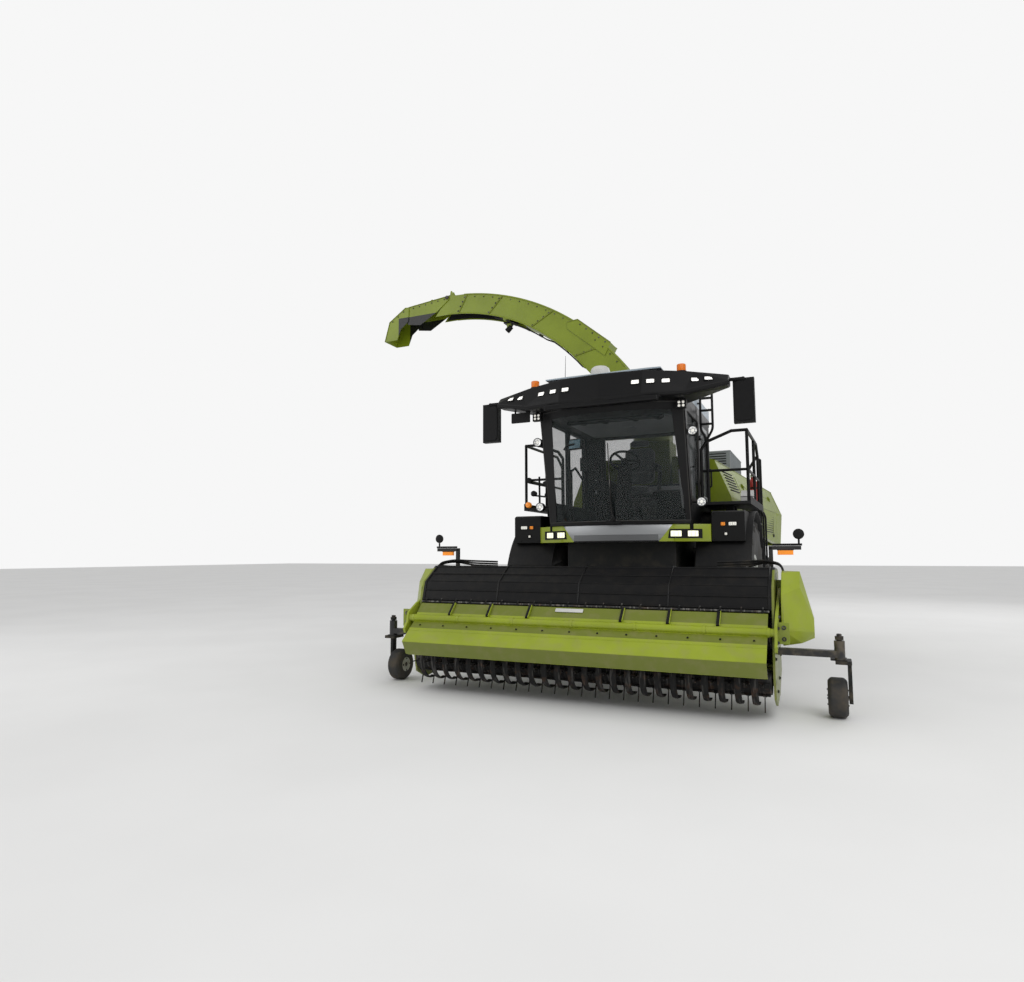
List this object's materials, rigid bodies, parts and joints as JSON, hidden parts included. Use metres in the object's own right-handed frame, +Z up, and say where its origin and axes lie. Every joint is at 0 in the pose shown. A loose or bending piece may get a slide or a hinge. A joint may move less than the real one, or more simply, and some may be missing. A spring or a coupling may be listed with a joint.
{
  "type": "forage harvester",
  "caption": "Self-propelled forage harvester with a windrow pickup header in front, a bowed-screen cab, a green engine hood and a tall discharge spout swung out to its right side.",
  "frame": {"origin": "on the floor under the middle of the box round the whole machine, at the rest pose", "axes": "+X forward, towards the pickup header; +Y to the left side of the machine; +Z up"},
  "size_m": [8.0528, 7.45, 6.255],
  "materials": {
    "green": "gloss",
    "green_bright": "gloss",
    "black": "satin",
    "frame_grey": "satin",
    "black_plastic": "matte",
    "roof_grey": "gloss",
    "tyre": "matte",
    "rim": "satin",
    "glass": "clear",
    "silver": "satin",
    "chrome_rod": "polished",
    "cushion": "woven",
    "worn_steel": "worn",
    "lamp": "gloss"
  },
  "bodies": {
    "chassis": {"frame": "frame_grey", "crop_duct": "frame_grey", "engine": "frame_grey", "fuel_tank": "black_plastic", "radiator": "black", "front_axle": "frame_grey", "rear_axle": "frame_grey", "cab_frame": "black", "cab_glass": "glass", "cab_roof": "roof_grey", "roof_visor": "black_plastic", "mirrors": "black_plastic", "cab_interior": "black_plastic", "seat_cushions": "cushion", "headlamp_bar": "silver", "headlamps": "lamp", "platform": "black", "fenders": "black_plastic", "handrails": "black", "hood": "green"},
    "front_wheel_left": {"front_tyre_left": "tyre", "front_rim_left": "rim"},
    "front_wheel_right": {"front_tyre_right": "tyre", "front_rim_right": "rim"},
    "steering_left": {"knuckle_left": "frame_grey"},
    "steering_right": {"knuckle_right": "frame_grey"},
    "rear_wheel_left": {"rear_tyre_left": "tyre", "rear_rim_left": "rim"},
    "rear_wheel_right": {"rear_tyre_right": "tyre", "rear_rim_right": "rim"},
    "door_left": {"cab_door": "black"},
    "hood_side_left": {"hood_door_left": "green"},
    "hood_side_right": {"hood_door_right": "green"},
    "radiator_screen": {"rear_door": "black"},
    "turret": {"spout_turret": "green"},
    "spout": {"spout_arm": "green"},
    "flap": {"spout_flap": "green"},
    "tip": {"spout_tip": "green"},
    "spout_barrels": {"spout_cylinders": "black"},
    "spout_pistons": {"spout_rods": "chrome_rod"},
    "flap_barrel": {"flap_cylinder": "black"},
    "flap_piston": {"flap_rod": "chrome_rod"},
    "header": {"feeder": "frame_grey", "header_frame": "green", "header_cover": "black_plastic", "side_covers": "green_bright"},
    "lift_barrels": {"lift_cylinders": "black"},
    "lift_pistons": {"lift_rods": "chrome_rod"},
    "auger_rotor": {"auger": "worn_steel"},
    "reel_rotor": {"pickup_reel": "worn_steel"},
    "press": {"crop_guard": "green_bright"},
    "caster_left": {"gauge_fork_left": "black"},
    "caster_right": {"gauge_fork_right": "black"},
    "caster_wheel_left": {"gauge_wheel_left": "tyre"},
    "caster_wheel_right": {"gauge_wheel_right": "tyre"}
  },
  "joints": [
    {"name": "front_wheel_left_spin", "type": "hinge", "parent": "chassis", "child": "front_wheel_left", "pos_m": [0.925, 2.41, 0.98], "axis": [0, 1, 0], "continuous": true},
    {"name": "front_wheel_right_spin", "type": "hinge", "parent": "chassis", "child": "front_wheel_right", "pos_m": [0.925, -0.01, 0.98], "axis": [0, 1, 0], "continuous": true},
    {"name": "steer_left", "type": "hinge", "parent": "chassis", "child": "steering_left", "pos_m": [-2.175, 2.06, 0.745], "axis": [0, 0, 1], "range_deg": [-35, 35]},
    {"name": "rear_wheel_left_spin", "type": "hinge", "parent": "steering_left", "child": "rear_wheel_left", "pos_m": [-2.175, 2.4, 0.745], "axis": [0, 1, 0], "continuous": true},
    {"name": "steer_right", "type": "hinge", "parent": "chassis", "child": "steering_right", "pos_m": [-2.175, 0.34, 0.745], "axis": [0, 0, 1], "range_deg": [-35, 35]},
    {"name": "rear_wheel_right_spin", "type": "hinge", "parent": "steering_right", "child": "rear_wheel_right", "pos_m": [-2.175, 0, 0.745], "axis": [0, 1, 0], "continuous": true},
    {"name": "cab_door_swing", "type": "hinge", "parent": "chassis", "child": "door_left", "pos_m": [1.297, 2.138, 2.7], "axis": [0, 0, 1], "range_deg": [-60, 0]},
    {"name": "hood_left_lift", "type": "hinge", "parent": "chassis", "child": "hood_side_left", "pos_m": [-0.675, 2.39111, 2.56], "axis": [0.9942, -0.1057, 0.0217], "range_deg": [0, 75]},
    {"name": "hood_right_lift", "type": "hinge", "parent": "chassis", "child": "hood_side_right", "pos_m": [-0.675, 0.00889, 2.56], "axis": [-0.9942, -0.1057, -0.0217], "range_deg": [0, 75]},
    {"name": "radiator_screen_swing", "type": "hinge", "parent": "chassis", "child": "radiator_screen", "pos_m": [-3.993, 2.392, 2.17], "axis": [0, 0, -1], "range_deg": [0, 95]},
    {"name": "spout_slew", "type": "hinge", "parent": "chassis", "child": "turret", "pos_m": [-0.075, 1.2, 3.3], "axis": [0, 0, 1], "range_deg": [-195, 15]},
    {"name": "spout_lift", "type": "hinge", "parent": "turret", "child": "spout", "pos_m": [-0.075, 0.9, 3.6], "axis": [-1, 0, 0], "range_deg": [-30, 0]},
    {"name": "flap_fold", "type": "hinge", "parent": "spout", "child": "flap", "pos_m": [-0.075, -2.4, 6.08], "axis": [-1, 0, 0], "range_deg": [-25, 30]},
    {"name": "tip_fold", "type": "hinge", "parent": "flap", "child": "tip", "pos_m": [-0.075, -3.24, 6], "axis": [-1, 0, 0], "range_deg": [-30, 36]},
    {"name": "spout_barrel_turn", "type": "hinge", "parent": "turret", "child": "spout_barrels", "pos_m": [-0.075, 0.87, 3.4], "axis": [-1, 0, 0], "range_deg": [-26.14, 0.5]},
    {"name": "spout_rod_slide", "type": "slide", "parent": "spout_barrels", "child": "spout_pistons", "axis": [0, -0.4472, 0.8944], "range_m": [-0.0762, 0.002]},
    {"name": "flap_barrel_turn", "type": "hinge", "parent": "spout", "child": "flap_barrel", "pos_m": [-0.075, -2.4, 6.18], "axis": [-1, 0, 0], "range_deg": [-25.39, 30.37]},
    {"name": "flap_rod_slide", "type": "slide", "parent": "flap_barrel", "child": "flap_piston", "axis": [0, -0.995, -0.0995], "range_m": [-0.0531, 0.0446]},
    {"name": "header_lift", "type": "hinge", "parent": "chassis", "child": "header", "pos_m": [1.425, 1.2, 1.05], "axis": [0, -1, 0], "range_deg": [0, 16]},
    {"name": "header_barrel_turn", "type": "hinge", "parent": "chassis", "child": "lift_barrels", "pos_m": [1.155, 1.2, 0.72], "axis": [0, -1, 0], "range_deg": [-0.5, 12.58]},
    {"name": "header_rod_slide", "type": "slide", "parent": "lift_barrels", "child": "lift_pistons", "axis": [0.9972, 0, -0.0746], "range_m": [-0.002, 0.0935]},
    {"name": "auger_spin", "type": "hinge", "parent": "header", "child": "auger_rotor", "pos_m": [3.215, 1.2, 0.72], "axis": [0, 1, 0], "continuous": true},
    {"name": "reel_spin", "type": "hinge", "parent": "header", "child": "reel_rotor", "pos_m": [3.615, 1.2, 0.34], "axis": [0, 1, 0], "continuous": true},
    {"name": "press_lift", "type": "hinge", "parent": "header", "child": "press", "pos_m": [3.075, 1.2, 1.12], "axis": [0, -1, 0], "range_deg": [0, 35]},
    {"name": "caster_left_swivel", "type": "hinge", "parent": "header", "child": "caster_left", "pos_m": [3.345, 3.63, 0.6], "axis": [0, 0, 1], "continuous": true},
    {"name": "caster_left_spin", "type": "hinge", "parent": "caster_left", "child": "caster_wheel_left", "pos_m": [3.225, 3.6, 0.18], "axis": [0, 1, 0], "continuous": true},
    {"name": "caster_right_swivel", "type": "hinge", "parent": "header", "child": "caster_right", "pos_m": [3.345, -1.23, 0.6], "axis": [0, 0, 1], "continuous": true},
    {"name": "caster_right_spin", "type": "hinge", "parent": "caster_right", "child": "caster_wheel_right", "pos_m": [3.225, -1.2, 0.18], "axis": [0, 1, 0], "continuous": true}
  ],
  "couplings": [
    {"joint": "spout_barrel_turn", "follows": "spout_lift", "ratio": 0.8548},
    {"joint": "spout_rod_slide", "follows": "spout_lift", "m_per_rad": 0.14179},
    {"joint": "flap_barrel_turn", "follows": "flap_fold", "ratio": 0.99552},
    {"joint": "flap_rod_slide", "follows": "flap_fold", "m_per_rad": -0.09757},
    {"joint": "tip_fold", "follows": "flap_fold", "ratio": 1.2},
    {"joint": "header_barrel_turn", "follows": "header_lift", "ratio": 0.75501},
    {"joint": "header_rod_slide", "follows": "header_lift", "m_per_rad": 0.32769},
    {"joint": "steer_right", "follows": "steer_left", "ratio": 1}
  ]
}
